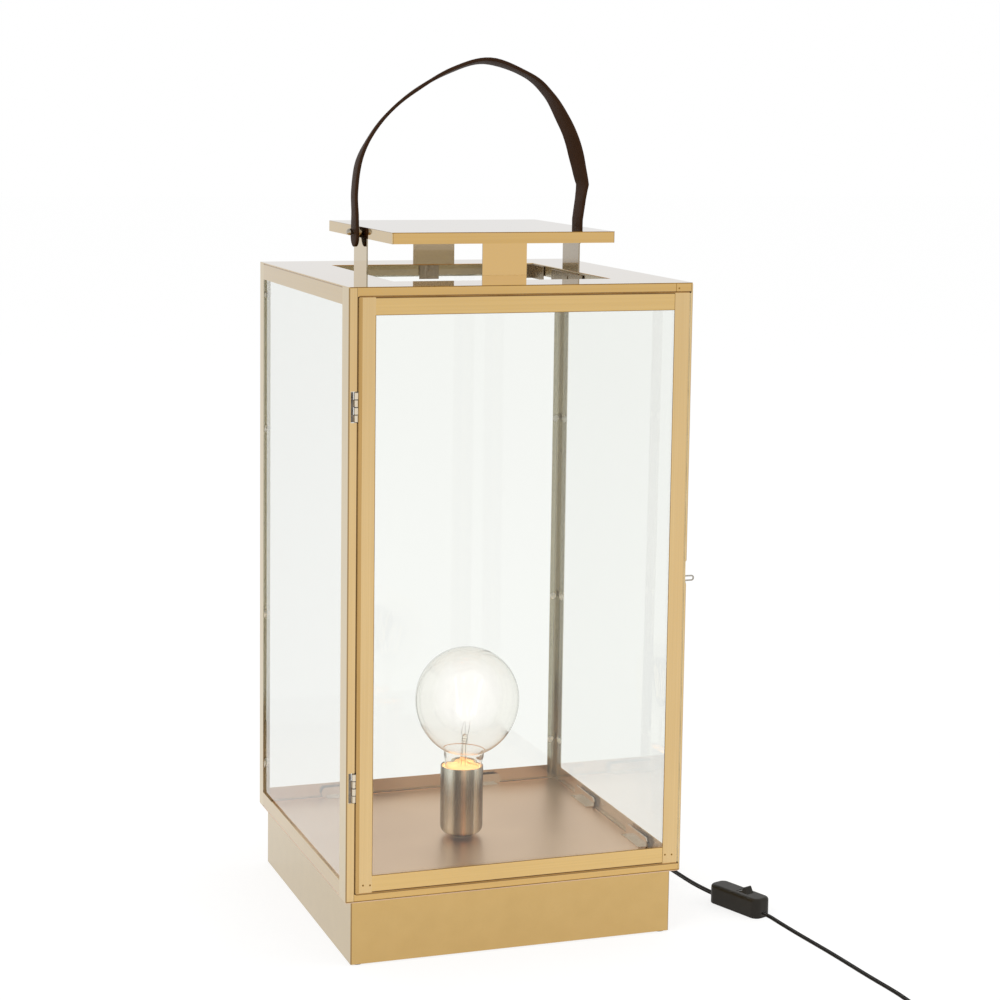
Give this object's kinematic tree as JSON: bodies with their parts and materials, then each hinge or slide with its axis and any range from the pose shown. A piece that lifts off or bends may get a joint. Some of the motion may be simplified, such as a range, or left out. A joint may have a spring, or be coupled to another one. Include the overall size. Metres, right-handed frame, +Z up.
{
  "type": "lantern table lamp",
  "caption": "Tall square glazed lantern lamp of folded brass-coloured sheet on a plinth, with a hinged glass door, raised cap, strap handle, globe bulb and a corded in-line switch.",
  "frame": {"origin": "on the floor under the middle of the cabinet and plinth, measured without the cord and what is on it", "axes": "+Z up, -Y the way the door faces, +X to the right of someone facing the door"},
  "size_m": [0.4213, 0.709, 0.7643],
  "materials": {
    "brass_sheet": "polished, brass-coloured sheet",
    "floor_sheet": "satin, unpolished side of the sheet",
    "rubber": "matte",
    "clear_glass": "clear float glass",
    "clear_rubber": "clear, soft",
    "steel": "bright zinc-plated steel",
    "stud_metal": "dark bronze",
    "leather": "dark brown, smooth",
    "nickel": "brushed nickel",
    "porcelain": "glazed",
    "bulb_glass": "clear, thin",
    "filament": "lit tungsten wire",
    "cord_plastic": "satin black flex",
    "black_plastic": "satin black"
  },
  "bodies": {
    "lantern": {"bottom_rail_back": "brass_sheet", "bottom_rail_front": "brass_sheet", "bottom_rail_left": "brass_sheet", "bottom_rail_right": "brass_sheet", "bulb_cap": "nickel", "bulb_glass": "bulb_glass", "bulb_stem": "bulb_glass", "cap_leg_back": "brass_sheet", "cap_leg_front": "brass_sheet", "cap_leg_left": "brass_sheet", "cap_leg_right": "brass_sheet", "cap_plate": "brass_sheet", "catch_spring": "brass_sheet", "cord_coil": "cord_plastic", "cord_from_switch": "cord_plastic", "cord_inside": "cord_plastic", "cord_tail": "cord_plastic", "cord_to_switch": "cord_plastic", "filament": "filament", "floor_plate": "floor_sheet", "foot_pads": "rubber", "glass_back": "clear_glass", "glass_clips_bottom": "brass_sheet", "glass_clips_top": "brass_sheet", "glass_left": "clear_glass", "glass_pads": "clear_rubber", "glass_right": "clear_glass", "handle_studs": "stud_metal", "hinge_frame_leaves": "steel", "hinge_pins": "steel", "holder_nuts": "steel", "lampholder_core": "porcelain", "lampholder_cup": "nickel", "nipple": "steel", "plinth": "brass_sheet", "plug_body": "black_plastic", "plug_pins": "steel", "post_back_left": "brass_sheet", "post_back_right": "brass_sheet", "post_front_left": "brass_sheet", "post_front_right": "brass_sheet", "screws": "steel", "strain_relief": "rubber", "switch_base": "black_plastic", "switch_cover": "black_plastic", "top_plate": "brass_sheet", "top_rail_back": "brass_sheet", "top_rail_front": "brass_sheet", "top_rail_left": "brass_sheet", "top_rail_right": "brass_sheet"},
    "door": {"door_stile_left": "brass_sheet", "door_stile_right": "brass_sheet", "door_rail_top": "brass_sheet", "door_rail_bottom": "brass_sheet", "door_glass": "clear_glass", "door_glass_clips": "brass_sheet", "hinge_door_leaves": "steel", "pull_loop": "steel"},
    "handle": {"handle_strap": "leather"},
    "rocker": {"switch_rocker": "black_plastic"}
  },
  "joints": [
    {"name": "door_swing", "type": "hinge", "parent": "lantern", "child": "door", "pos_m": [-0.146, -0.1525, 0.3165], "axis": [0, 0, -1], "range_deg": [0, 170]},
    {"name": "handle_swing", "type": "hinge", "parent": "lantern", "child": "handle", "pos_m": [0, 0, 0.61215], "axis": [1, 0, 0], "range_deg": [-75, 75]},
    {"name": "rocker_tilt", "type": "hinge", "parent": "lantern", "child": "rocker", "pos_m": [0.23384, -0.1171, 0.014], "axis": [0.9426, 0.3338, 0], "range_deg": [0, 14]}
  ]
}
